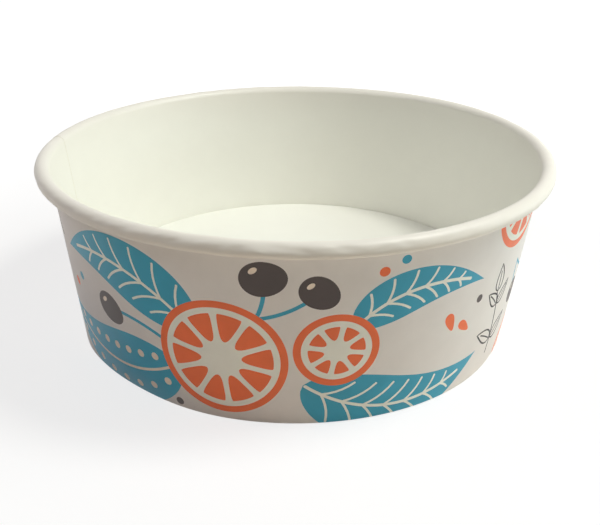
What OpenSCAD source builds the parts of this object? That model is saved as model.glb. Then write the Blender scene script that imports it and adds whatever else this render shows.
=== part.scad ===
// Wide paper dessert cup of about 650 ml, made from two pieces of coated paperboard.
// The side wall is one fan-shaped blank, wrapped into a cone and sealed in a lap seam. Its top edge is
// rolled outwards into the rim, and its bottom edge is folded inwards and up into a hem. The bottom is a
// disc with a turned-down skirt, which is sealed between the wall and the hem.
// The origin is on the table under the middle of the cup, and +Z is up. Sizes are in millimetres.

/* [Cup] */
// Diameter of the mouth, over the rolled rim
rim_d = 150; // [142:1:170]
// Outside diameter of the wall at the table
base_d = 131; // [120:1:136]
// Height from the table to the top of the rim
cup_h = 53; // [45:1:80]

/* [Side wall] */
// Thickness of the wall's paperboard
board_t = 0.4; // [0.3:0.05:0.45]
// Width of the rolled rim, over the paper
curl_d = 4.2; // [3.8:0.1:5]
// How far the edge is rolled, from where it leaves the wall
curl_turn = 425; // [390:5:440]
// Width of the lap seam
lap_w = 8; // [5:0.5:12]
// Length over which the outer layer climbs onto the inner one
climb_w = 14; // [10:1:20]
// Direction of the seam's inner edge, anticlockwise from +X
seam_angle = 175; // [0:5:355]
// Height of the hem above the table
hem_h = 6; // [4:0.5:6]

/* [Bottom] */
// Thickness of the bottom's paperboard
floor_t = 0.35; // [0.25:0.05:0.4]
// Height of the floor's upper face above the table
floor_h = 8; // [7.5:0.5:12]
// Outside radius of the bend between the floor and its skirt
shoulder_r = 1.2; // [0.8:0.1:1.3]

/* [Fits] */
// Coating on each face of the skirt, between it and the boards that grip it
seal_t = 0.03; // [0.02:0.01:0.05]
// Clearance between the turns of the rolled rim
curl_gap = 0.1; // [0.05:0.05:0.15]
// Inside radius of the fold at the table
fold_r = 0.1; // [0.05:0.01:0.12]
// Clearance between the end of the skirt and the fold
skirt_gap = 0.3; // [0.2:0.1:0.6]

/* [Hidden] */
$fn = 96;

// The roll's circle, and the wall's outer face as the line from the base that touches its inside
curl_r = curl_d / 2;
curl_c = [rim_d / 2 - curl_r, cup_h - curl_r];
base_p = [base_d / 2, 0];
reach = curl_c - base_p;
taper = atan2(reach.x, reach.y) - asin((curl_r - board_t) / norm(reach));
wall_n = [cos(taper), -sin(taper)];

// Radius of the wall's inner face at a height
function inner_r(z) = base_p.x - board_t / cos(taper) + z * tan(taper);

// The slot between wall and hem, which holds the skirt, and the two corners of the fold below it. A layer
// or two, t thick, stand on the table.
slot_w = (floor_t + 2 * seal_t) / cos(taper);
fold_f = fold_r / cos(taper);
function fold_z(t) = t + fold_r;
function wall_corner(t) = [inner_r(fold_z(t)) - fold_f, fold_z(t)];
function hem_corner(t) = [inner_r(fold_z(t)) - slot_w + fold_f, fold_z(t)];
function slot_mid(t) = (wall_corner(t).x + hem_corner(t).x) / 2;

// The lap seam. Round most of the cup the blank is round. On its last climb_a before the seam's inner edge
// it leaves the cone on an easing arc, which starts lip_w off the cone and ends step_w off it, to pass round
// its own start.
mid_r = inner_r(cup_h / 2);
lap_a = lap_w / mid_r * 180 / PI;
climb_a = climb_w / mid_r * 180 / PI;
step_w = board_t / cos(taper);
lip_w = 0.02;

// How far behind the axis an easing arc has its centre, for an end that lies step further out than the cone
// and a start that lies lip further out
function arc_shift(step, lip) =
    (pow(mid_r + step, 2) - pow(mid_r + lip, 2)) / (2 * (mid_r + lip - (mid_r + step) * cos(climb_a)));

// Board in section is a path of [point on its reference face, unit vector into its thickness]. An arc of it
// has its reference face at radius r, and its thickness inwards if side is -1. A sheet is t thick.
arc_step = 12;
function arc(c, r, from, to, side) =
    let (steps = max(2, round(abs(to - from) / arc_step)))
    [for (i = [0 : steps]) let (a = from + (to - from) * i / steps, u = [cos(a), sin(a)]) [c + r * u, side * u]];
module sheet(path, t) {
    polygon(concat(
        [for (s = path) s[0]],
        [for (i = [len(path) - 1 : -1 : 0]) path[i][0] + t * path[i][1]]));
}

// The wall's board, in two halves that meet under the skirt. Its reference face is the one inside the cup,
// so a second layer lies outside the wall, inside the roll and on the hem's free side.
function hem_half(t) = concat(
    [[[inner_r(hem_h) - slot_w, hem_h], -wall_n]],
    arc(hem_corner(t), fold_r, 180 - taper, 270, 1),
    [[[slot_mid(t), t], [0, -1]]]);
function wall_half(t, turn) = concat(
    [[[slot_mid(t), t], [0, -1]]],
    arc(wall_corner(t), fold_r, -90, -taper, 1),
    roll(t, turn));

// Half turns about two centres, each half a pitch tighter than the last
function roll(t, turn) =
    let (pitch = t + curl_gap)
    concat(
        arc(curl_c, curl_r, 180 - taper, -taper, -1),
        arc(curl_c + pitch / 2 * wall_n, curl_r - pitch / 2, -taper, -180 - taper, -1),
        turn > 360 ? arc(curl_c, curl_r - pitch, 180 - taper, 540 - taper - turn, -1) : []);

// The bottom's board. Its skirt ends clear of the fold where that is two layers thick.
skirt_z = fold_z(2 * board_t) + skirt_gap;
shoulder_z = floor_h - shoulder_r;
shoulder_p = [inner_r(shoulder_z) - (seal_t + shoulder_r) / cos(taper), shoulder_z];
bottom_board = concat(
    [[[0, floor_h], [0, -1]]],
    arc(shoulder_p, shoulder_r, 90, -taper, -1),
    [[[inner_r(skirt_z) - seal_t / cos(taper), skirt_z], -wall_n]]);

// Turns a section about the cup's axis, anticlockwise from the seam's inner edge
module turned(from, to) {
    rotate_extrude(start = from, angle = to - from) children();
}

// Turns a section along an easing arc: outwards if side is 1, and inwards if it is -1. The arc starts a
// little way past climb_a, if asked to.
module eased(side, past = 0) {
    shift = arc_shift(side * step_w, side * lip_w);
    intersection() {
        translate(-shift * [cos(climb_a), sin(climb_a), 0])
            turned(-90, climb_a + past) translate([shift + side * lip_w, 0]) children();
        translate([0, 0, -1]) cube([rim_d, rim_d, cup_h + 2]);
    }
}

// The flat of the fold where it widens to pass round the inner layer: what lies inside the arc that eases
// outwards and outside the one that eases inwards
module fold_web() {
    overlap = (wall_corner(board_t).x - slot_mid(board_t)) / 2;
    width = 4 * step_w;
    difference() {
        eased(1) translate([slot_mid(board_t) + overlap - width, 0]) square([width, board_t]);
        translate([0, 0, -board_t]) eased(-1, climb_a)
            translate([slot_mid(board_t) - overlap - 2 * width, 0]) square([2 * width, 3 * board_t]);
    }
}

// The wrapped blank: round, then easing apart to pass round its own start, then doubled in the lap
module side_wall() {
    color("ivory") rotate([0, 0, seam_angle]) {
        turned(climb_a, 360 - lap_a)
            sheet(concat(hem_half(board_t), wall_half(board_t, curl_turn)), board_t);
        eased(-1) sheet(hem_half(board_t), board_t);
        eased(1) sheet(wall_half(board_t, curl_turn), board_t);
        fold_web();
        turned(-lap_a, 0) sheet(concat(hem_half(2 * board_t), wall_half(2 * board_t, 360)), 2 * board_t);
    }
}

// The disc with its skirt
module bottom() {
    color("white") rotate_extrude() sheet(bottom_board, floor_t);
}

side_wall();
bottom();
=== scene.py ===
import math

import bpy
import numpy as np
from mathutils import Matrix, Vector
from mathutils.geometry import delaunay_2d_cdt


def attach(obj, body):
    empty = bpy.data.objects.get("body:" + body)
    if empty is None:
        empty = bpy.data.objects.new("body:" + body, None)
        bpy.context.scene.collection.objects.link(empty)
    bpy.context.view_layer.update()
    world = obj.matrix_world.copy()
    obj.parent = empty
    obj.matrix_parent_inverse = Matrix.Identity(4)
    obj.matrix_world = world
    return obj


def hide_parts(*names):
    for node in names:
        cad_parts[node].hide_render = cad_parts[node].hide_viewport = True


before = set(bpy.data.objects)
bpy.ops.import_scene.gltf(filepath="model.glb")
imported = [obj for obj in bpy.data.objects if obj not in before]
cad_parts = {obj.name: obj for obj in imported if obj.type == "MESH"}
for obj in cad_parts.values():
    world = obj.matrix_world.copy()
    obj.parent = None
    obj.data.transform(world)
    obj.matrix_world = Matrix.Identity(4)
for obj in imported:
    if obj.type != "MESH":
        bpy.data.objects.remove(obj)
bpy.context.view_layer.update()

# Sizes of the cup in millimetres, as constructed
MM = 0.001
RIM_R = 75.0
BASE_R = 65.5
CUP_H = 53.0
BOARD_T = 0.4
ROLL_R = 2.1
ROLL_TURN = 425.0
ROLL_GAP = 0.1
LAP_W = 8.0
LAP_SEAL = 0.01
CLIMB_W = 14.0
SEAM_AZIMUTH = 175.0
HEM_H = 6.0
FLOOR_T = 0.35
FLOOR_H = 8.0
SHOULDER_R = 1.2
SEAL_T = 0.03
FOLD_R = 0.1
SKIRT_GAP = 0.3
# The raw edges of the lap are pressed thin: by how much, and over what width
PRESS = 0.34
PRESS_W = 1.6
# The floor isn't quite flat inside FLOOR_FREE, and flat again where it is held. It has two waves and three waves round
# the cup, with these heights at FLOOR_WAVE_R, and its middle sags.
FLOOR_FREE, FLOOR_HELD = 50, 64
FLOOR_WAVE_R = 60
FLOOR_WAVE = (0.06, 0.05)
FLOOR_SAG = 0.25

# The line of the wall in section
roll_c = np.array([RIM_R - ROLL_R, CUP_H - ROLL_R])
reach = roll_c - np.array([BASE_R, 0.0])
TAPER = math.atan2(reach[0], reach[1]) - math.asin((ROLL_R - BOARD_T) / math.hypot(*reach))
WALL_N = np.array([math.cos(TAPER), -math.sin(TAPER)])
SLOT_W = (FLOOR_T + 2 * SEAL_T) / math.cos(TAPER)


def inner_r(z):
    """Radius of the wall's inner face at a height."""
    return BASE_R - BOARD_T / math.cos(TAPER) + z * math.tan(TAPER)


MID_R = inner_r(CUP_H / 2)
LAP_A = math.degrees(LAP_W / MID_R)
CLIMB_A = math.degrees(CLIMB_W / MID_R)
ROUND = 2 * math.pi * MID_R

# The board's outer face as a length v up the wall from its fold: the fold and the hem lie below 0, and the roll above
# WALL_L
CORNER_L = (FOLD_R + BOARD_T) * (math.pi / 2 - TAPER)
FLAT_L = SLOT_W - 2 * FOLD_R / math.cos(TAPER)
HEM_L = (HEM_H - BOARD_T - FOLD_R) / math.cos(TAPER)
WALL_L = (roll_c[1] - BOARD_T - FOLD_R) / math.cos(TAPER)
SPANS = {"hem": HEM_L, "corner_in": CORNER_L, "flat": FLAT_L, "corner_out": CORNER_L, "wall": WALL_L,
         "roll_1": math.pi * ROLL_R, "roll_2": math.pi * ROLL_R, "roll_3": math.radians(ROLL_TURN - 360) * ROLL_R}
FOLD_L = 2 * CORNER_L + FLAT_L
STARTS = dict(zip(SPANS, np.cumsum([-FOLD_L - HEM_L, *list(SPANS.values())[:-1]])))
V_MIN = -FOLD_L - HEM_L
V_MAX = V_MIN + sum(SPANS.values())

# How far the print runs: to a line under the roll, and round the fold a little way up the hem
PRINT_TOP = 47.0
PRINT_BOTTOM = -FOLD_L - 2.5


def smooth(x):
    """0 to 1 with flat ends."""
    x = np.clip(x, 0, 1)
    return x * x * (3 - 2 * x)


def layers(phi):
    """At an angle from the seam's inner edge: how far the board lies off its reference, and how much is beside it."""
    outer = np.where(phi <= 0, 1.0, np.clip(1 - phi / CLIMB_A, 0, 1) ** 2)
    inner = smooth((phi - 360 + 2 * LAP_A) / LAP_A)
    thinned = PRESS * smooth(1 + np.radians(np.minimum(phi, 0)) * MID_R / PRESS_W)
    return (BOARD_T + LAP_SEAL - thinned) * outer, BOARD_T * np.maximum(outer, inner)


def around(centre_x, centre_z, radius, from_a, to_a, f):
    """Point and outward direction on an arc of the section, angles in radians."""
    a = from_a + (to_a - from_a) * f
    u = np.stack([np.cos(a), np.sin(a)], -1)
    return np.stack([centre_x + radius * u[..., 0], centre_z + radius * u[..., 1]], -1), u


def section(v, extra):
    """Point on the board's reference face and direction into its thickness, for a length v and a layer beside it."""
    fold_z = BOARD_T + extra + FOLD_R
    fold_f = FOLD_R / math.cos(TAPER)
    wall_x = inner_r(fold_z) - fold_f
    hem_x = inner_r(fold_z) - SLOT_W + fold_f
    pitch = BOARD_T + extra + ROLL_GAP
    v = np.clip(v, V_MIN, V_MAX)
    f = {k: np.clip((v - STARTS[k]) / SPANS[k], 0, 1) for k in SPANS}
    ones = np.ones_like(v)

    def line(x0, z0, x1, z1, n, t):
        """Point and outward direction on a straight part of the section."""
        p = np.stack([x0 + (x1 - x0) * t, z0 + (z1 - z0) * t], -1)
        return p, np.broadcast_to(n, p.shape)

    hem_top = (inner_r(HEM_H) - SLOT_W, HEM_H)
    # The last part of the roll is left out where two layers lie in it, but for one degree
    last_turn = np.radians(1 + (ROLL_TURN - 361) * (1 - extra / BOARD_T))
    parts = {
        "hem": line(hem_top[0] * ones, hem_top[1] * ones, hem_x - FOLD_R * WALL_N[0], fold_z - FOLD_R * WALL_N[1],
                    -WALL_N, f["hem"]),
        "corner_in": around(hem_x, fold_z, FOLD_R, math.pi - TAPER, 1.5 * math.pi, f["corner_in"]),
        "flat": line(hem_x, fold_z - FOLD_R, wall_x, fold_z - FOLD_R, np.array([0.0, -1.0]), f["flat"]),
        "corner_out": around(wall_x, fold_z, FOLD_R, -0.5 * math.pi, -TAPER, f["corner_out"]),
        "wall": line(wall_x + FOLD_R * WALL_N[0], fold_z + FOLD_R * WALL_N[1],
                     roll_c[0] - ROLL_R * WALL_N[0], roll_c[1] - ROLL_R * WALL_N[1], WALL_N, f["wall"]),
        "roll_1": around(roll_c[0], roll_c[1], ROLL_R, math.pi - TAPER, -TAPER, f["roll_1"]),
        "roll_2": around(roll_c[0] + pitch / 2 * WALL_N[0], roll_c[1] + pitch / 2 * WALL_N[1], ROLL_R - pitch / 2,
                         -TAPER, -math.pi - TAPER, f["roll_2"]),
        "roll_3": around(roll_c[0], roll_c[1], ROLL_R - pitch, math.pi - TAPER,
                         math.pi - TAPER - last_turn, f["roll_3"]),
    }
    point = np.zeros(v.shape + (2,))
    normal = np.zeros(v.shape + (2,))
    for k, (p, n) in parts.items():
        here = v >= STARTS[k]
        sign = -1 if k.startswith("roll") else 1
        point[here] = p[here]
        normal[here] = sign * n[here]
    return point, normal


# How the real cup departs from round. The rim is a little oval and wavy: waves round the cup, and their cosine and
# sine parts in mm.
RIM_OVAL = [(2, -0.17, -0.24), (3, 0.08, -0.05), (5, -0.04, 0.05)]
RIM_WAVE = [(2, 0.09, 0.30), (3, 0.05, 0.06), (7, 0.03, -0.02)]
# Waves in the wall: how many round the cup, how high in mm and their phase in degrees
WALL_WAVE = [(4, 0.05, 20.0), (7, 0.035, 80.0), (11, 0.03, 200.0), (17, 0.015, 310.0)]
# The lower wall, bent out of round: azimuth and half width in degrees, height of the bend and amount at the table in
# mm (outwards if above 0, and inwards if below)
BASE_BENDS = [(4, 30, 50, -1.0), (346, 14, 50, -0.4), (230, 15, 6.5, -0.88), (206, 7, 8, 0.35), (330, 14, 9, -0.3),
              (268, 24, 20, -0.2), (190, 8, 30, 0.25)]
# Waves in the roll, given as those in the wall. They come and go on a slant round the roll.
ROLL_WAVE = [(23, 0.030, 10.0), (37, 0.028, 65.0), (58, 0.022, 140.0), (91, 0.012, 215.0)]
# Dents in the roll: azimuth, half width and place round the roll from where it leaves the wall, all in degrees, and
# depth in mm. DENT_SPREAD is the half width of all of them round the roll.
ROLL_DENTS = [(247, 3.0, 155, 0.18), (254, 2.2, 140, 0.16), (260, 1.6, 172, 0.22), (265.5, 2.4, 132, 0.20),
              (271, 1.8, 160, 0.18), (277, 2.6, 144, 0.18), (286, 2.0, 168, 0.14), (301, 3.0, 150, 0.14),
              (233, 2.6, 150, 0.14), (215, 3.0, 160, 0.12), (60, 2.5, 150, 0.14), (95, 3.0, 160, 0.16),
              (131, 2.2, 140, 0.14), (20, 2.6, 160, 0.14), (335, 2.2, 155, 0.12)]
DENT_SPREAD = 38.0
# Wrinkles in the roll: azimuth and place round it in degrees, length and width in mm, slant in degrees, and depth in
# mm (a crease if above 0, and a ridge if below). WRINKLE makes them all deeper.
WRINKLES = [(231, 134, 5.5, 0.8, 24, 0.12), (235, 158, 4.2, 0.7, 30, -0.10), (239, 140, 5.6, 0.8, 18, 0.14),
            (243.5, 170, 4.2, 0.7, 34, 0.11), (246, 128, 4.0, 0.7, 26, -0.10), (249, 152, 5.4, 0.8, 20, 0.15),
            (254.5, 136, 4.0, 0.7, 12, -0.11), (257, 162, 5.0, 0.8, 28, 0.14), (261, 144, 4.6, 0.8, 8, 0.13),
            (264.5, 172, 4.0, 0.7, -16, -0.11), (268, 136, 5.8, 0.8, -8, 0.12), (272, 158, 5.2, 0.8, -14, 0.11),
            (275.5, 130, 4.4, 0.7, -8, -0.10), (279, 148, 6.0, 0.8, -11, 0.12), (284, 166, 4.2, 0.7, 14, 0.10),
            (289, 142, 4.4, 0.8, -18, 0.10), (296, 158, 4.2, 0.8, 16, 0.08), (224, 150, 4.8, 0.8, 20, 0.11),
            (217, 136, 4.2, 0.8, 26, -0.08), (209, 154, 4.6, 0.8, 16, 0.10), (310, 144, 4.6, 0.8, -14, 0.07),
            (199, 142, 4.2, 0.8, -18, 0.08), (25, 148, 4.6, 1.0, 20, 0.09), (58, 140, 4.4, 1.0, -18, 0.10),
            (84, 158, 4.8, 1.0, 14, 0.09), (117, 144, 4.4, 1.0, -24, 0.10), (148, 150, 4.6, 1.0, 18, 0.09)]
WRINKLE = 1.25
# Where the roll's marks fade in and out, in degrees round it from where it leaves the wall
MARKS_IN = 40
MARKS_END, MARKS_OUT = 260, 60
# The rim's waves begin at this height, and the wall's end this far from the table and from the rim
RIM_FROM = 6
WALL_CALM = 3


def harmonics(theta, terms):
    """Waves given by their cosine and sine parts."""
    return sum(c * np.cos(n * theta) + s * np.sin(n * theta) for n, c, s in terms)


def ripple(theta, terms):
    """Waves given by their height and phase."""
    return sum(a * np.cos(n * theta + math.radians(p)) for n, a, p in terms)


def from_azimuth(azimuth, at):
    """Degrees anticlockwise from one direction to another, from -180 to 180."""
    return (azimuth - at + 180) % 360 - 180


def pushed(azimuth, z):
    """How far the lower wall and the bottom in it are bent in or out of round."""
    return sum(amount * np.clip(1 - z / height, 0, 1) ** 1.3 * np.exp(-(from_azimuth(azimuth, at) / width) ** 2)
               for at, width, height, amount in BASE_BENDS)


def dents(azimuth, turn):
    """How deep the roll is pressed in by its dents and wrinkles."""
    depth = np.zeros(np.broadcast(azimuth, turn).shape)
    for at, width, place, deep in ROLL_DENTS:
        depth += deep * np.exp(-(from_azimuth(azimuth, at) / width) ** 2 - ((turn - place) / DENT_SPREAD) ** 2)
    for at, place, length, width, slant, deep in WRINKLES:
        x = np.radians(from_azimuth(azimuth, at)) * RIM_R
        y = np.radians(turn - place) * ROLL_R
        c, s = math.cos(math.radians(slant)), math.sin(math.radians(slant))
        depth += WRINKLE * deep * np.exp(-((c * x - s * y) / length * 2) ** 2 - ((s * x + c * y) / width) ** 2)
    return depth


def pressed(phi, depth):
    """Depth in the board, whose outer face sinks where its two edges are pressed thin."""
    last = smooth(1 - np.radians(360 - phi) * MID_R / PRESS_W)
    first = smooth(1 - np.radians(phi + LAP_A) * MID_R / PRESS_W)
    return depth - PRESS * (last + first) * depth / BOARD_T


def place(phi, v, depth):
    """Where a point of the blank lies on the finished cup, in millimetres. depth is 0 inside and BOARD_T outside."""
    phi, v = np.broadcast_arrays(np.asarray(phi, float), np.asarray(v, float))
    off, extra = layers(phi)
    azimuth = (phi + SEAM_AZIMUTH) % 360
    theta = np.radians(azimuth)
    p, n = section(v, extra)
    turn = np.degrees(np.clip(v - WALL_L, 0, None) / ROLL_R)
    on_roll = smooth(turn / MARKS_IN) * smooth((MARKS_END - turn) / MARKS_OUT)
    bump = on_roll * (ripple(theta, ROLL_WAVE) * (0.5 + 0.5 * np.sin(np.radians(turn + 3 * azimuth)))
                      + dents(azimuth, turn))
    p = p + n * (off + pressed(phi, depth) + bump)[..., None]
    up = smooth((p[..., 1] - RIM_FROM) / (CUP_H - RIM_FROM))
    middle = np.sin(np.pi * np.clip((p[..., 1] - WALL_CALM) / (CUP_H - 2 * WALL_CALM), 0, 1))
    r = p[..., 0] + up * harmonics(theta, RIM_OVAL) + middle * ripple(theta, WALL_WAVE) + pushed(azimuth, p[..., 1])
    z = p[..., 1] + up * harmonics(theta, RIM_WAVE)
    return np.stack([r * np.cos(theta), r * np.sin(theta), z], -1)


def face_normals(phi, v, depth):
    """Normals of the board's face, from inside to outside, by small steps on it."""
    step_v, step_phi = 0.02, 0.05
    across = place(phi + step_phi, v, depth) - place(phi - step_phi, v, depth)
    along = place(phi, np.minimum(v + step_v, V_MAX), depth) - place(phi, np.maximum(v - step_v, V_MIN), depth)
    n = np.cross(across, along)
    return n / np.linalg.norm(n, axis=-1, keepdims=True)


# Print shapes are (ink, rings), where a ring is a closed outline in millimetres on the flat blank: x runs right
# from the middle of the cup's front, and y runs up from the table. Curves have a point about every FINE.
FINE = 0.7
LINE_W = 0.5
CORNER_CUTS = 3
# A leaf's half width is t ** LEAF_ROUND * (1 - t) ** LEAF_POINT along it, and LEAF_SCALE makes its widest place 1
LEAF_ROUND, LEAF_POINT, LEAF_SCALE = 0.6, 1.1, 3.02
# Strip along the raw edges of the lap that stays without print
BARE_EDGE = 0.35


def ring(points):
    """A list of points as an array."""
    return np.asarray(points, float).reshape(-1, 2)


def turned(points, degrees):
    """Points turned anticlockwise about the middle."""
    a = math.radians(degrees)
    return ring(points) @ np.array([[math.cos(a), math.sin(a)], [-math.sin(a), math.cos(a)]])


def moved(shapes, x, y, degrees=0.0):
    """Print shapes turned and then moved."""
    return [(ink, [turned(r, degrees) + (x, y) for r in rings]) for ink, rings in shapes]


def oval(rx, ry, x=0.0, y=0.0, degrees=0.0, wobble=0.0):
    """An oval, made a little uneven by wobble."""
    count = max(14, int(math.pi * (rx + ry) / FINE))
    a = np.arange(count) / count * 2 * np.pi
    k = 1 + wobble * (np.cos(2 * a + 1.1) + 0.6 * np.cos(3 * a + 0.4))
    return turned(np.stack([rx * k * np.cos(a), ry * k * np.sin(a)], -1), degrees) + (x, y)


def softened(points):
    """A closed outline with its corners cut again and again."""
    p = ring(points)
    for _ in range(CORNER_CUTS):
        q = np.roll(p, -1, axis=0)
        p = np.stack([0.75 * p + 0.25 * q, 0.25 * p + 0.75 * q], 1).reshape(-1, 2)
    return p


def curve(p0, p1, p2, count=None):
    """A quadratic curve through p0 and p2, pulled towards p1."""
    p0, p1, p2 = (np.asarray(p, float) for p in (p0, p1, p2))
    count = count or max(8, int((np.linalg.norm(p1 - p0) + np.linalg.norm(p2 - p1)) / FINE))
    t = np.linspace(0, 1, count)[:, None]
    return (1 - t) ** 2 * p0 + 2 * t * (1 - t) * p1 + t ** 2 * p2


def sideways(points):
    """Unit vectors to the left along a line of points."""
    d = np.gradient(points, axis=0)
    d /= np.linalg.norm(d, axis=1, keepdims=True)
    return np.stack([-d[:, 1], d[:, 0]], -1)


def stroke(points, width):
    """A line of that width with round ends, as one ring."""
    side = sideways(points) * width / 2
    cap = np.radians(np.linspace(60, -60, 3))
    first, last = side[0], side[-1]

    def end(centre, s, forward):
        f = np.array([s[1], -s[0]]) * forward
        return [centre + np.sin(c) * s + np.cos(c) * f for c in (cap if forward > 0 else cap[::-1])]

    return ring([*(points + side), *end(points[-1], last, 1), *(points - side)[::-1], *end(points[0], first, -1)])


def outline(points, width):
    """The rim of a closed outline, as two rings."""
    closed = np.vstack([points[-1], points, points[0]])
    side = sideways(closed)[1:-1] * width / 2
    return [points + side, (points - side)[::-1]]


def leaf_half(t, width):
    """Half the width of a leaf along its midrib: round where it starts, and pointed at its tip."""
    t = np.clip(t, 0, 1)
    return width / 2 * LEAF_SCALE * t ** LEAF_ROUND * (1 - t) ** LEAF_POINT


def leaf_ring(axis, width):
    """A leaf round its midrib."""
    side = sideways(axis) * leaf_half(np.linspace(0, 1, len(axis)), width)[:, None]
    return ring([*(axis + side)[:-1], *(axis - side)[::-1][:-1]])


def along(axis, spacing, first):
    """Points at even spacing on a line, from first on, with the line's direction there in degrees."""
    length = np.r_[0, np.cumsum(np.linalg.norm(np.diff(axis, axis=0), axis=1))]
    heading = np.degrees(np.unwrap(np.arctan2(*np.gradient(axis, axis=0).T[::-1])))
    stops = np.arange(first, length[-1] - 0.5 * spacing, spacing)
    return [(*(np.interp(s, length, c) for c in (*axis.T, heading)), s / length[-1]) for s in stops]


def veined_leaf(p0, p1, p2, width, spacing=6.0):
    """A broad teal leaf with a pale midrib and side veins."""
    axis = curve(p0, p1, p2)
    shapes = [("teal", [leaf_ring(axis, width)]), ("pale", [stroke(axis[1:-max(3, len(axis) // 8)], 0.9)])]
    for x, y, heading, t in along(axis, spacing, 0.9 * spacing):
        reach = 0.8 * leaf_half(t + 0.1, width)
        for side in (-1, 1) if reach > 1.6 else ():
            vein = curve((0, 0), (0.6 * reach, side * 0.4 * reach), (0.85 * reach, side * reach), 6)
            shapes += moved([("pale", [stroke(vein, 0.65)])], x, y, heading)
    return shapes


def dotted_leaf(p0, p1, p2, width, spacing=5.6, dot=1.15):
    """A broad teal leaf with a plain midrib and cream dots on both sides of it."""
    axis = curve(p0, p1, p2)
    shapes = [("teal", [leaf_ring(axis, width)]), ("cream", [stroke(axis[1:-max(3, len(axis) // 8)], 0.8)])]
    for x, y, heading, t in along(axis, spacing, 1.2 * spacing):
        half = leaf_half(t, width)
        for side in (-1, 1):
            if half > 3.4 * dot:
                shapes += moved([("cream", [oval(dot, dot, 0, side * 0.5 * half)])], x, y, heading)
    return shapes


def citrus(radius, parts=9):
    """A slice of citrus: coral rind, pale pith and coral segments with round corners."""
    rind, peel, gap = 1.9, 3.5, 0.62
    shapes = [("coral", [oval(radius, radius)]), ("pale", [oval(radius - rind, radius - rind)])]
    outer, inner = radius - peel, 0.13 * radius
    half = math.pi / parts
    for i in range(parts):
        a = np.linspace(-half, half, 7) * (1 - gap / (outer * half))
        arc = np.stack([outer * np.cos(a), outer * np.sin(a)], -1)
        wedge = np.vstack([[inner + gap, 0], arc])
        shapes.append(("coral", [turned(softened(wedge), math.degrees(2 * half * i))]))
    return shapes


def berries(ovals, stalk_to, stalk_w=1.0):
    """Charcoal berries on teal stalks that meet in one point."""
    shapes = []
    for x, y, *_ in ovals:
        bend = (np.array([x, y]) + stalk_to) / 2 + np.array([y - stalk_to[1], stalk_to[0] - x]) * 0.15
        shapes.append(("teal", [stroke(curve(stalk_to, bend, (x, y)), stalk_w)]))
    for x, y, rx, ry, tilt in ovals:
        shapes.append(("charcoal", [oval(rx, ry, x, y, tilt, 0.03)]))
        shapes.append(("cream", [oval(0.22 * rx, 0.15 * ry, x - 0.4 * rx, y + 0.45 * ry, 40)]))
    return shapes


def line_sprig(length, pairs, size, width=LINE_W):
    """A sprig drawn in a fine black line: a stem with pairs of open leaves and one at its tip."""
    stem = curve((0, 0), (length * 0.12, length * 0.5), (0, length))
    shapes = [("line", [stroke(stem, width)])]
    stops = np.linspace(0.22, 0.78, pairs)
    leaves = [(np.array([np.interp(t * length, stem[:, 1], stem[:, 0]), t * length]), side * lean, 1 - 0.25 * t)
              for t, lean in zip(stops, np.linspace(58, 44, pairs)) for side in (-1, 1)]
    leaves.append((stem[-1], 0, 0.9))
    for at, lean, k in leaves:
        tip = np.array([0, size * k])
        axis = curve((0, 0.4), (0.06 * size, size * k * 0.5), tip)
        shape = [("line", outline(leaf_ring(axis, size * k * 0.42), width)),
                 ("line", [stroke(axis[1:-max(2, len(axis) // 4)], width * 0.8)])]
        shapes += moved(shape, at[0], at[1], lean)
    return shapes


def line_pear(size, width=LINE_W):
    """A pear in a fine black line, hatched down one side, with its stalk."""
    body = softened([(0, 1.0), (0.34, 0.72), (0.42, 0.2), (0.78, -0.35), (0.55, -0.95), (0, -1.05), (-0.55, -0.95),
                     (-0.78, -0.35), (-0.42, 0.2), (-0.34, 0.72)]) * size
    shapes = [("line", outline(body, width)), ("line", [stroke(curve((0, 0.86 * size), (0.02 * size, 1.2 * size),
                                                                    (0.22 * size, 1.42 * size)), width * 1.4)])]
    for i in range(6):
        y = (-0.85 + 0.17 * i) * size
        shapes.append(("line", [stroke(curve((-0.56 * size, y), (-0.44 * size, y + 0.02 * size),
                                             (-0.28 * size, y + 0.12 * size), 6), width * 0.8)]))
    return shapes


def petals(sizes):
    """Small coral drops, round at the top and pointed below."""
    shapes = []
    for x, y, size, tilt in sizes:
        drop = softened([(0, -1.0), (0.42, 0.1), (0.4, 0.75), (0, 1.0), (-0.4, 0.75), (-0.42, 0.1)]) * size
        shapes += moved([("coral", [drop])], x, y, tilt)
    return shapes


def teal_fig(size, width=1.9):
    """A fig in a thick teal line, with its stalk and its seeds."""
    body = softened([(0, 1.15), (0.32, 0.75), (0.85, -0.1), (0.72, -0.85), (0, -1.1), (-0.72, -0.85), (-0.85, -0.1),
                     (-0.32, 0.75)]) * size
    seeds = [(0, -0.15), (0.3, -0.42), (-0.3, -0.42), (0, -0.68), (0.02, 0.22)]
    return [("teal", outline(body, width)), ("teal", [stroke(curve((0, size), (0.05 * size, 1.4 * size),
                                                                   (0.3 * size, 1.75 * size)), width)]),
            *petals([(x * size, y * size, 0.13 * size, 8 * i) for i, (x, y) in enumerate(seeds)])]


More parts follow.
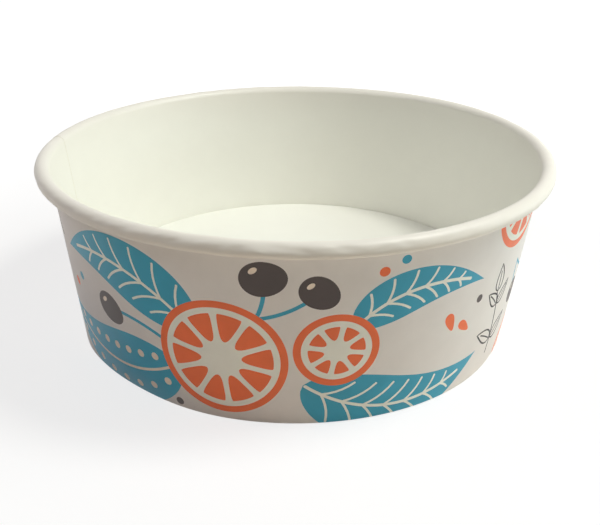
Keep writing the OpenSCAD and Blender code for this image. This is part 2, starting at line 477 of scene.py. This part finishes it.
def design():
    """One repeat of the print, which is half of the way round the cup."""
    shapes = []
    shapes += veined_leaf((-24, 25), (-43, 46), (-71, 35), 18)
    shapes += dotted_leaf((-30, 14), (-53, -1), (-88, 15), 21)
    shapes += veined_leaf((2, 12), (24, -5), (55, 9), 19)
    shapes += veined_leaf((14, 28), (27, 43), (51, 33), 12.5, 5.0)
    shapes += berries([(-7, 42, 5.4, 4.7, 20), (5.5, 38.5, 4.9, 4.3, -30)], (-9, 31))
    shapes += berries([(-52, 23.5, 5.0, 4.3, -20)], (-34, 21))
    shapes += moved(citrus(10.5, 8), 10, 22, 12)
    shapes += moved(citrus(16.5, 10), -18, 18.5, 5)
    shapes += moved(citrus(14.0, 9), 67, 51, 40)
    shapes += moved(line_sprig(20, 2, 10.0), 62, 5, 4)
    shapes += moved(petals([(0, 0, 3.6, 22), (5.6, -2.8, 3.2, 48)]), 41, 23)
    shapes += moved(line_sprig(17, 2, 9.0), -81.5, 45, 166)
    shapes += moved(line_pear(7.6), 102.5, 22, -10)
    shapes += moved(citrus(11.5, 8), 82.5, -1, 20)
    shapes += moved(petals([(0, 0, 4.4, 12), (6.0, -3.2, 3.8, 34), (8.4, -8.6, 3.2, 58)]), 81.8, 40.5)
    shapes += moved(teal_fig(7.2), -99, 33.5, 8)
    shapes += berries([(76, 19, 4.4, 3.9, 10), (84, 24.5, 4.0, 3.5, 40)], (73, 30), 0.8)
    shapes += [(ink, [oval(r, r, x, y)]) for ink, r, x, y in (
        ("charcoal", 1.2, -31.5, 1.8), ("coral", 1.3, 20, 43), ("teal", 1.2, 25, 45.5),
        ("coral", 1.4, -71, 24), ("teal", 1.2, -66, 27.5), ("charcoal", 1.2, 51, 27), ("coral", 1.3, -98, 12),
        ("teal", 1.3, -93, 8), ("charcoal", 1.1, -101, 7))]
    return shapes


def clipped(points, axis, limit, keep_above):
    """The part of a closed outline on one side of a limit."""
    sign = 1 if keep_above else -1
    out = []
    for a, b in zip(points, np.roll(points, -1, axis=0)):
        da, db = sign * (a[axis] - limit), sign * (b[axis] - limit)
        if da >= 0:
            out.append(a)
        if da * db < 0:
            cut = a + (b - a) * da / (da - db)
            cut[axis] = limit
            out.append(cut)
    return np.array(out).reshape(-1, 2)


def print_shapes():
    """The whole print on the blank, u along it from the seam's inner edge, cut off at the print's limits."""
    front = (270 - SEAM_AZIMUTH) / 360 * ROUND
    u_min, u_max = -LAP_W + BARE_EDGE, ROUND - BARE_EDGE
    limits = ((0, u_min, True), (0, u_max, False), (1, PRINT_BOTTOM, True), (1, PRINT_TOP, False))
    shapes = []
    for ink, rings in design():
        for turn in (-2, -1, 0, 1, 2):
            cut = []
            for r in rings:
                r = r + (front + turn * ROUND / 2, 0)
                if r[:, 0].max() < u_min or r[:, 0].min() > u_max:
                    continue
                for axis, limit, above in limits:
                    if len(r):
                        r = clipped(r, axis, limit, above)
                if len(r) > 2:
                    cut.append(r)
            if cut:
                shapes.append((turn, ink, cut))
    return [(ink, cut) for turn, ink, cut in sorted(shapes, key=lambda s: s[0])]


def inside(points, rings):
    """Which points lie inside an odd number of rings."""
    odd = np.zeros(len(points), bool)
    x, y = points[:, 0][:, None], points[:, 1][:, None]
    for r in rings:
        a, b = r, np.roll(r, -1, axis=0)
        crosses = (a[:, 1] > y) != (b[:, 1] > y)
        with np.errstate(divide="ignore", invalid="ignore"):
            at = a[:, 0] + (y - a[:, 1]) / (b[:, 1] - a[:, 1]) * (b[:, 0] - a[:, 0])
        odd ^= (np.sum(crosses & (x < at), axis=1) % 2).astype(bool)
    return odd


INKS = ["board", "teal", "coral", "pale", "cream", "charcoal", "line"]
COATED = len(INKS)
ROLLED = COATED + 1
RAW = COATED + 2


def printed_face(columns, rows):
    """The board's outer face, cut along the outlines of the print. Returns its (u, v) points, triangles and inks."""
    u = np.radians(columns) * MID_R
    count = len(columns)
    points = [(a, b) for b in rows for a in u]
    edges = [(i * count + j, i * count + j + 1) for i in range(len(rows)) for j in range(count - 1)]
    edges += [(i * count + j, (i + 1) * count + j) for i in range(len(rows) - 1) for j in (0, count - 1)]
    shapes = print_shapes()
    for _, rings in shapes:
        for r in rings:
            first = len(points)
            points += [tuple(p) for p in r]
            edges += [(first + i, first + (i + 1) % len(r)) for i in range(len(r))]
    flat, _, faces, sources, _, _ = delaunay_2d_cdt([Vector(p) for p in points], edges, [], 0, 1e-5)
    flat = np.array([points[s[0]] if s and s[0] < count * len(rows) else tuple(p) for p, s in zip(flat, sources)])
    faces = np.array(faces)
    a, b, c = (flat[faces[:, i]] for i in range(3))
    area = (b[:, 0] - a[:, 0]) * (c[:, 1] - a[:, 1]) - (b[:, 1] - a[:, 1]) * (c[:, 0] - a[:, 0])
    faces = np.where((area < 0)[:, None], faces[:, ::-1], faces)
    middle = flat[faces].mean(axis=1)
    ink = np.zeros(len(faces), int)
    for name, rings in shapes:
        low = np.min([r.min(axis=0) for r in rings], axis=0)
        high = np.max([r.max(axis=0) for r in rings], axis=0)
        near = np.flatnonzero(((middle >= low) & (middle <= high)).all(axis=1))
        ink[near[inside(middle[near], rings)]] = INKS.index(name)
    return flat, faces, ink


def span_rows(name, steps):
    """Lengths v at even steps on one span of the section, without its end."""
    return STARTS[name] + SPANS[name] * np.arange(steps) / steps


def build_wall():
    """The wrapped blank as one closed mesh: outer face, inner face and cut edges."""
    # Angles of the columns, close together at the pressed edges and round the cup's front
    edge_steps = np.array([0, 0.15, 0.35, 0.6, 0.95])
    columns = np.r_[edge_steps - LAP_A, np.linspace(1.5 - LAP_A, -1.5, 4), -edge_steps[::-1], np.arange(1, 20),
                    np.arange(20, 175, 0.6), np.linspace(175, 358.5, 148), 360 - edge_steps[::-1]]
    low_rows = np.unique(np.r_[span_rows("hem", 4), PRINT_BOTTOM, span_rows("corner_in", 6), span_rows("flat", 1),
                               span_rows("corner_out", 6), span_rows("wall", 17), PRINT_TOP, WALL_L])
    roll_rows = np.r_[WALL_L, span_rows("roll_1", 20)[1:], span_rows("roll_2", 18), span_rows("roll_3", 5), V_MAX]
    rows = np.r_[low_rows, roll_rows[1:]]
    flat, faces, ink = printed_face(columns, low_rows)

    points, normals, slots = [], [], []

    def add(p, n):
        """Takes up points and their normals, and returns the number of the first."""
        start = sum(len(x) for x in points)
        points.append(p)
        normals.append(n)
        return start

    phi = np.degrees(flat[:, 0] / MID_R)
    add(place(phi, flat[:, 1], BOARD_T), face_normals(phi, flat[:, 1], BOARD_T))
    loops = [list(f) for f in faces]
    slots += list(ink)

    def grid(row_values, depth, sign, slot):
        """One face of the board between all columns: the outer one if sign is 1, and the inner one if it is -1."""
        p, v = np.meshgrid(columns, row_values)
        start = add(place(p.ravel(), v.ravel(), depth), sign * face_normals(p.ravel(), v.ravel(), depth))
        count = len(columns)
        for i in range(len(row_values) - 1):
            for j in range(count - 1):
                a = start + i * count + j
                quad = [a, a + 1, a + count + 1, a + count]
                loops.append(quad if sign > 0 else quad[::-1])
                slots.append(slot)

    grid(roll_rows, BOARD_T, 1, INKS.index("board"))
    grid(rows[rows <= WALL_L], 0.0, -1, COATED)
    grid(rows[rows >= WALL_L], 0.0, -1, ROLLED)

    def edge(phis, vs, direction):
        """A cut edge of the board, from its inner to its outer face."""
        inner = place(phis, vs, 0.0)
        outer = place(phis, vs, BOARD_T)
        n = np.cross(outer - inner, np.gradient(inner, axis=0))
        n *= direction / np.linalg.norm(n, axis=1, keepdims=True)
        start = add(np.vstack([inner, outer]), np.vstack([n, n]))
        count = len(inner)
        for j in range(count - 1):
            quad = [start + j, start + j + 1, start + count + j + 1, start + count + j]
            loops.append(quad[::-1] if direction > 0 else quad)
            slots.append(RAW)

    edge(columns, np.full(len(columns), V_MIN), -1)
    edge(columns, np.full(len(columns), V_MAX), 1)
    edge(np.full(len(rows), -LAP_A), rows, 1)
    edge(np.full(len(rows), 360.0), rows, -1)
    return joined("printed_wall", np.vstack(points), np.vstack(normals), loops, slots)


WELD = 5


def joined(name, points, normals, loops, slots):
    """A smooth mesh with the given normals, its points welded where they agree to WELD decimals of a millimetre."""
    _, first, same = np.unique(np.round(points, WELD), axis=0, return_index=True, return_inverse=True)
    same = same.ravel()
    faces, kept, corner_normals = [], [], []
    for loop, slot in zip(loops, slots):
        welded = [same[i] for i in loop]
        if len(set(welded)) < len(welded):
            continue
        faces.append([int(i) for i in welded])
        kept.append(slot)
        corner_normals += [normals[i] for i in loop]
    mesh = bpy.data.meshes.new(name)
    mesh.from_pydata([tuple(p) for p in points[first] * MM], [], faces)
    mesh.polygons.foreach_set("material_index", kept)
    mesh.polygons.foreach_set("use_smooth", [True] * len(faces))
    mesh.update()
    mesh.normals_split_custom_set([tuple(n) for n in corner_normals])
    obj = bpy.data.objects.new(name, mesh)
    bpy.context.scene.collection.objects.link(obj)
    return obj


def build_bottom():
    """The disc: floor, shoulder and skirt, as one closed mesh of revolution that is not quite flat."""
    shoulder = np.array([inner_r(FLOOR_H - SHOULDER_R) - (SEAL_T + SHOULDER_R) / math.cos(TAPER), FLOOR_H - SHOULDER_R])
    skirt_z = 2 * BOARD_T + FOLD_R + SKIRT_GAP
    outer = [((x, FLOOR_H), (0, 1)) for x in np.linspace(0, shoulder[0], 24)[:-1]]
    for a in np.linspace(math.pi / 2, -TAPER, 12):
        u = np.array([math.cos(a), math.sin(a)])
        outer.append((shoulder + SHOULDER_R * u, u))
    outer.append(((inner_r(skirt_z) - SEAL_T / math.cos(TAPER), skirt_z), WALL_N))
    outer = [(np.array(p, float), np.array(n, float)) for p, n in outer]
    profile = outer + [(p - FLOOR_T * n, -n) for p, n in outer[::-1]]
    count = 240
    theta = np.arange(count) / count * 2 * np.pi
    points, normals, loops, slots = [], [], [], []
    for p, n in profile:
        free = 1 - smooth((p[0] - FLOOR_FREE) / (FLOOR_HELD - FLOOR_FREE))
        lift = free * (FLOOR_WAVE[0] * np.cos(2 * theta + 0.7) * (p[0] / FLOOR_WAVE_R) ** 2
                       + FLOOR_WAVE[1] * np.cos(3 * theta + 2.0) * (p[0] / FLOOR_WAVE_R) ** 3)
        lift = lift + free * FLOOR_SAG * ((p[0] / FLOOR_FREE) ** 2 - 1)
        r = p[0] + pushed(np.degrees(theta), p[1]) * (p[0] / shoulder[0]) ** 2
        points.append(np.stack([r * np.cos(theta), r * np.sin(theta), p[1] + lift], -1))
        normals.append(np.stack([n[0] * np.cos(theta), n[0] * np.sin(theta), np.full(count, n[1])], -1))
    points, normals = np.vstack(points), np.vstack(normals)
    edge_k = len(outer) - 1
    for k in range(len(profile) - 1):
        for j in range(count):
            a, b = k * count + j, k * count + (j + 1) % count
            quad = [a, a + count, b + count, b]
            loop = []
            for i in quad:
                if not loop or np.abs(points[i] - points[loop[-1]]).max() > 1e-6:
                    loop.append(i)
            if len(loop) > 2 and np.abs(points[loop[0]] - points[loop[-1]]).max() < 1e-6:
                loop.pop()
            if len(loop) > 2:
                loops.append(loop)
                slots.append(0 if k < edge_k else 2 if k == edge_k else 1)
    return joined("bottom_disc", points, normals, loops, slots)


def linear(r, g, b):
    """A colour given as 0 to 255 on the screen, as light."""
    return tuple(((c / 255 + 0.055) / 1.055) ** 2.4 if c > 10 else c / 255 / 12.92 for c in (r, g, b)) + (1.0,)


def new_material(name):
    """A material with no nodes yet, and its nodes and links."""
    material = bpy.data.materials.new(name)
    material.use_nodes = True
    material.node_tree.nodes.clear()
    return material, material.node_tree.nodes, material.node_tree.links


def ranged(nodes, links, value, source, target=(0.0, 1.0), eased=True):
    """A value carried from one range to another, with flat ends if eased."""
    node = nodes.new("ShaderNodeMapRange")
    node.interpolation_type = "SMOOTHSTEP" if eased else "LINEAR"
    for name, number in zip(("From Min", "From Max", "To Min", "To Max"), (*source, *target)):
        node.inputs[name].default_value = number
    links.new(value, node.inputs["Value"])
    return node.outputs["Result"]


def vector_math(nodes, links, operation, vector, other=None):
    """A vector, a length or a distance worked out from a vector."""
    node = nodes.new("ShaderNodeVectorMath")
    node.operation = operation
    links.new(vector, node.inputs[0])
    if other:
        node.inputs[1].default_value = other
    return node.outputs["Value" if operation in ("LENGTH", "DISTANCE") else "Vector"]


def turning(nodes, links, share, first, colour):
    """A colour that turns into another one as a share goes from 0 to 1."""
    node = nodes.new("ShaderNodeMix")
    node.data_type = "RGBA"
    links.new(share, node.inputs[0])
    links.new(first, node.inputs[6])
    node.inputs[7].default_value = colour
    return node.outputs[2]


def ramp(nodes, links, value, ends, at=(0.0, 1.0)):
    """A colour between two others, by a value."""
    node = nodes.new("ShaderNodeValToRGB")
    for element, position, colour in zip(node.color_ramp.elements, at, ends):
        element.position = position
        element.color = colour
    links.new(value, node.inputs["Fac"])
    return node.outputs["Color"]


def noise(nodes, links, where, scale, detail):
    """A cloudy value from 0 to 1."""
    node = nodes.new("ShaderNodeTexNoise")
    node.inputs["Scale"].default_value = scale
    node.inputs["Detail"].default_value = detail
    links.new(where, node.inputs["Vector"])
    return node.outputs["Fac"]


# Paperboard: how coarse its mottle and its grain are, how high the grain stands in metres, how far the roughness
# varies, and how rough a coating is
MOTTLE_SCALE, MOTTLE_SPAN = 160, (0.3, 0.7)
GRAIN_SCALE, GRAIN_HEIGHT = 1400, 0.00006
ROUGHNESS_SPREAD = 0.05
COAT_ROUGHNESS = 0.22
# Between these distances from the axis in metres, the coated face turns from the wall's tone to a darker, warmer
# painted shade on the roll
ROLL_PAINTED_SHADE = linear(239, 236, 226)
SHADE_FROM, SHADE_TO = 0.0695, 0.0722


def paper(name, colour, roughness, grain, mottle=0.03, coat=0.0, specular=0.5, outwards=None):
    """Paperboard: a colour with a faint mottle, which turns outwards into a painted shade if that is given, a fine
    grain in its surface and a roughness that varies."""
    material, nodes, links = new_material(name)
    out = nodes.new("ShaderNodeOutputMaterial")
    shader = nodes.new("ShaderNodeBsdfPrincipled")
    links.new(shader.outputs["BSDF"], out.inputs["Surface"])
    shader.inputs["Specular IOR Level"].default_value = specular
    shader.inputs["Coat Weight"].default_value = coat
    shader.inputs["Coat Roughness"].default_value = COAT_ROUGHNESS
    where = nodes.new("ShaderNodeTexCoord").outputs["Object"]

    cloud = noise(nodes, links, where, MOTTLE_SCALE, 5)
    ends = [tuple(min(1, c * k) for c in colour[:3]) + (1,) for k in (1 - mottle, 1 + mottle)]
    tint = ramp(nodes, links, cloud, ends, MOTTLE_SPAN)
    # Painted shade: the colour darkens outwards from the axis, onto the roll
    if outwards:
        away = vector_math(nodes, links, "LENGTH", vector_math(nodes, links, "MULTIPLY", where, (1, 1, 0)))
        tint = turning(nodes, links, ranged(nodes, links, away, (SHADE_FROM, SHADE_TO)), tint, outwards)
    links.new(tint, shader.inputs["Base Color"])
    spread = (roughness - ROUGHNESS_SPREAD, roughness + ROUGHNESS_SPREAD)
    links.new(ranged(nodes, links, cloud, (0, 1), spread, eased=False), shader.inputs["Roughness"])

    bump = nodes.new("ShaderNodeBump")
    bump.inputs["Strength"].default_value = grain
    bump.inputs["Distance"].default_value = GRAIN_HEIGHT
    links.new(noise(nodes, links, where, GRAIN_SCALE, 3), bump.inputs["Height"])
    links.new(bump.outputs["Normal"], shader.inputs["Normal"])
    return material


def wall_materials():
    """The inks and the bare board outside, then the coated face of wall and roll, and the cut edges."""
    inks = {
        "board": paper("printed_side", linear(238, 236, 232), 0.5, 0.35, 0.02, specular=0.25),
        "teal": paper("teal_ink", linear(60, 168, 198), 0.42, 0.30, 0.05, specular=0.35),
        "coral": paper("coral_ink", linear(250, 121, 70), 0.42, 0.30, 0.05, specular=0.35),
        "pale": paper("pale_ink", linear(247, 250, 240), 0.44, 0.30, specular=0.25),
        "cream": paper("cream_ink", linear(252, 238, 220), 0.44, 0.30, specular=0.25),
        "charcoal": paper("charcoal_ink", linear(83, 73, 70), 0.40, 0.30, 0.06, specular=0.35),
        "line": paper("black_ink", linear(30, 27, 26), 0.42, 0.30, specular=0.25),
    }
    # Both coated faces darken onto the roll: a painted shade, not the board's own colour
    coated = paper("coated_side", linear(246, 246, 237), 0.38, 0.16, 0.006, 0.12, 0.4, ROLL_PAINTED_SHADE)
    rolled = paper("coated_roll", linear(246, 246, 237), 0.40, 0.16, 0.006, 0.05, 0.32, ROLL_PAINTED_SHADE)
    # The cut edges are lighter than the board: a cream partly their own and partly painted light that lifts the shade
    # on the lap's step
    raw = paper("raw_edge", linear(250, 245, 226), 0.75, 0.6, 0.04)
    return [inks[k] for k in INKS] + [coated, rolled, raw]


wall = build_wall()
for m in wall_materials():
    wall.data.materials.append(m)
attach(wall, "root")
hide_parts("side_wall")

bottom = build_bottom()
for m in (paper("floor_coated", linear(243, 244, 236), 0.38, 0.16, 0.006, 0.12, 0.4),
          paper("floor_underside", linear(236, 233, 226), 0.6, 0.4, 0.03),
          paper("floor_edge", linear(232, 226, 214), 0.8, 0.6, 0.06)):
    bottom.data.materials.append(m)
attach(bottom, "root")
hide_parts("bottom")


# Camera, as fitted to the photograph's outlines: its distance from the middle of the cup in mm, its height angle, its
# focal length and the point of the picture that the middle of the cup falls on, both in pixels
PICTURE = (600, 525)
CAMERA_DISTANCE = 250.8
CAMERA_ELEVATION = 22.74
CAMERA_FOCAL_PX = 807.6
CAMERA_CENTRE = (294.8, 224.3)
SENSOR = 36
# Lamps: name, place and width in metres, power in watts and colour. They shine on the middle of the cup.
LAMPS = [("key", (0.371, -0.052, 0.680), 0.22, 3.3, (1.0, 0.99, 0.93)),
         ("low_key", (0.572, -0.050, 0.512), 0.25, 1.0, (0.91, 0.98, 1.0)),
         ("side", (0.742, 0.039, 0.134), 0.30, 0.9, (0.905, 1.0, 1.0)),
         ("fill", (-0.520, -0.100, 0.560), 0.40, 0.95, (0.97, 0.93, 1.0))]
LAMP_AIM = (0, 0, 0.03)
SKY_COLOUR = (1.0, 0.95, 0.88, 1)
SKY_LOW, SKY_HIGH = 0.12, 0.18
TABLE_HALF = 4.0
# What the camera sees of the table: a grey that takes the cup's shadow, and a glow that lifts it to white, which
# grows between these distances from the cup's middle in metres
TABLE_SEEN = (0.28, 0.28, 0.28, 1)
GLOW_AT = (0.09, 0.32)
GLOW = (0.74, 0.96)
# Colour of the table in the light it throws back: warm, darkened round a point at the left into a painted shadow where
# the cup's shadow falls, and turned plainer and brighter at the right into painted light, where the lamps stand
TABLE_PAINTED_SHADOW, TABLE_LIT, TABLE_PAINTED_LIGHT = (0.08, 0.04, 0.08, 1), (0.80, 0.70, 0.61, 1), (0.84, 0.84, 0.79, 1)
PAINTED_SHADOW_AT = (-0.072, -0.056, 0.0)
PAINTED_SHADOW_RANGE = (0.018, 0.042)
PAINTED_LIGHT_RANGE = (0.055, 0.110)


def add_camera():
    """The camera of the photograph, whose place in the picture is set by a small shift."""
    camera = bpy.data.objects.new("camera", bpy.data.cameras.new("camera"))
    bpy.context.scene.collection.objects.link(camera)
    middle = Vector((0, 0, CUP_H / 2)) * MM
    e = math.radians(CAMERA_ELEVATION)
    direction = Vector((0, -math.cos(e), math.sin(e)))
    camera.location = middle + direction * CAMERA_DISTANCE * MM
    camera.rotation_euler = (-direction).to_track_quat("-Z", "Y").to_euler()
    camera.data.sensor_width = SENSOR
    camera.data.lens = CAMERA_FOCAL_PX / PICTURE[0] * SENSOR
    camera.data.shift_x = (PICTURE[0] / 2 - CAMERA_CENTRE[0]) / PICTURE[0]
    camera.data.shift_y = (CAMERA_CENTRE[1] - PICTURE[1] / 2) / PICTURE[0]
    camera.data.clip_start = 0.01
    bpy.context.scene.camera = camera


def add_lamps():
    """Round lamps that give soft shadows."""
    for name, at, size, power, colour in LAMPS:
        light = bpy.data.lights.new(name, "AREA")
        light.shape = "DISK"
        light.size = size
        light.energy = power
        light.color = colour
        obj = bpy.data.objects.new(name, light)
        obj.location = at
        obj.rotation_euler = (Vector(LAMP_AIM) - obj.location).to_track_quat("-Z", "Y").to_euler()
        bpy.context.scene.collection.objects.link(obj)


def seen_or_lit(nodes, links, seen, lit, surface):
    """Shows one shader to the rays that see the surroundings, which are the camera's, straight on or by way of gloss
    or glass, and the other to the light on the cup."""
    path = nodes.new("ShaderNodeLightPath")
    total = path.outputs["Is Camera Ray"]
    for name in ("Is Glossy Ray", "Is Transmission Ray"):
        either = nodes.new("ShaderNodeMath")
        either.operation = "MAXIMUM"
        links.new(total, either.inputs[0])
        links.new(path.outputs[name], either.inputs[1])
        total = either.outputs[0]
    mix = nodes.new("ShaderNodeMixShader")
    links.new(total, mix.inputs["Fac"])
    links.new(lit.outputs[0], mix.inputs[1])
    links.new(seen.outputs[0], mix.inputs[2])
    links.new(mix.outputs[0], surface)


def add_world():
    """Soft light all round, stronger from above, which the camera sees as white."""
    world = bpy.data.worlds.new("studio")
    bpy.context.scene.world = world
    world.use_nodes = True
    nodes, links = world.node_tree.nodes, world.node_tree.links
    nodes.clear()
    out = nodes.new("ShaderNodeOutputWorld")
    lit = nodes.new("ShaderNodeBackground")
    lit.inputs["Color"].default_value = SKY_COLOUR
    where = nodes.new("ShaderNodeTexCoord")
    parts = nodes.new("ShaderNodeSeparateXYZ")
    links.new(where.outputs["Generated"], parts.inputs["Vector"])
    links.new(ranged(nodes, links, parts.outputs["Z"], (0, 1), (SKY_LOW, SKY_HIGH)), lit.inputs["Strength"])
    seen = nodes.new("ShaderNodeBackground")
    seen.inputs["Color"].default_value = (1, 1, 1, 1)
    seen_or_lit(nodes, links, seen, lit, out.inputs["Surface"])


def add_floor():
    """A wide white table. The camera sees it lifted to white, more so away from the cup, with the cup's shadow. The
    light it throws back carries a painted shadow at the left and painted light at the right.
    """
    mesh = bpy.data.meshes.new("table")
    corners = [(x * TABLE_HALF, y * TABLE_HALF, 0) for x, y in ((-1, -1), (1, -1), (1, 1), (-1, 1))]
    mesh.from_pydata(corners, [], [(0, 1, 2, 3)])
    table = bpy.data.objects.new("table", mesh)
    bpy.context.scene.collection.objects.link(table)
    material, nodes, links = new_material("table")
    out = nodes.new("ShaderNodeOutputMaterial")
    where = nodes.new("ShaderNodeTexCoord").outputs["Object"]

    glow = nodes.new("ShaderNodeEmission")
    away = vector_math(nodes, links, "LENGTH", where)
    links.new(ranged(nodes, links, away, GLOW_AT, GLOW), glow.inputs["Strength"])
    grey = nodes.new("ShaderNodeBsdfDiffuse")
    grey.inputs["Color"].default_value = TABLE_SEEN
    seen = nodes.new("ShaderNodeAddShader")
    links.new(grey.outputs[0], seen.inputs[0])
    links.new(glow.outputs[0], seen.inputs[1])

    # Painted shadow: the colour the table throws back darkens round a point at the left
    beside = vector_math(nodes, links, "DISTANCE", where, PAINTED_SHADOW_AT)
    warm_with_painted_shadow = ramp(nodes, links, ranged(nodes, links, beside, PAINTED_SHADOW_RANGE), (TABLE_PAINTED_SHADOW, TABLE_LIT))
    # Painted light: that colour turns plainer and brighter towards the right, where the lamps stand
    parts = nodes.new("ShaderNodeSeparateXYZ")
    links.new(where, parts.inputs["Vector"])
    bounce = turning(nodes, links, ranged(nodes, links, parts.outputs["X"], PAINTED_LIGHT_RANGE), warm_with_painted_shadow, TABLE_PAINTED_LIGHT)
    lit = nodes.new("ShaderNodeBsdfDiffuse")
    links.new(bounce, lit.inputs["Color"])
    seen_or_lit(nodes, links, seen, lit, out.inputs["Surface"])
    mesh.materials.append(material)


add_camera()
add_world()
add_floor()
add_lamps()

bpy.context.scene.view_settings.view_transform = "Standard"
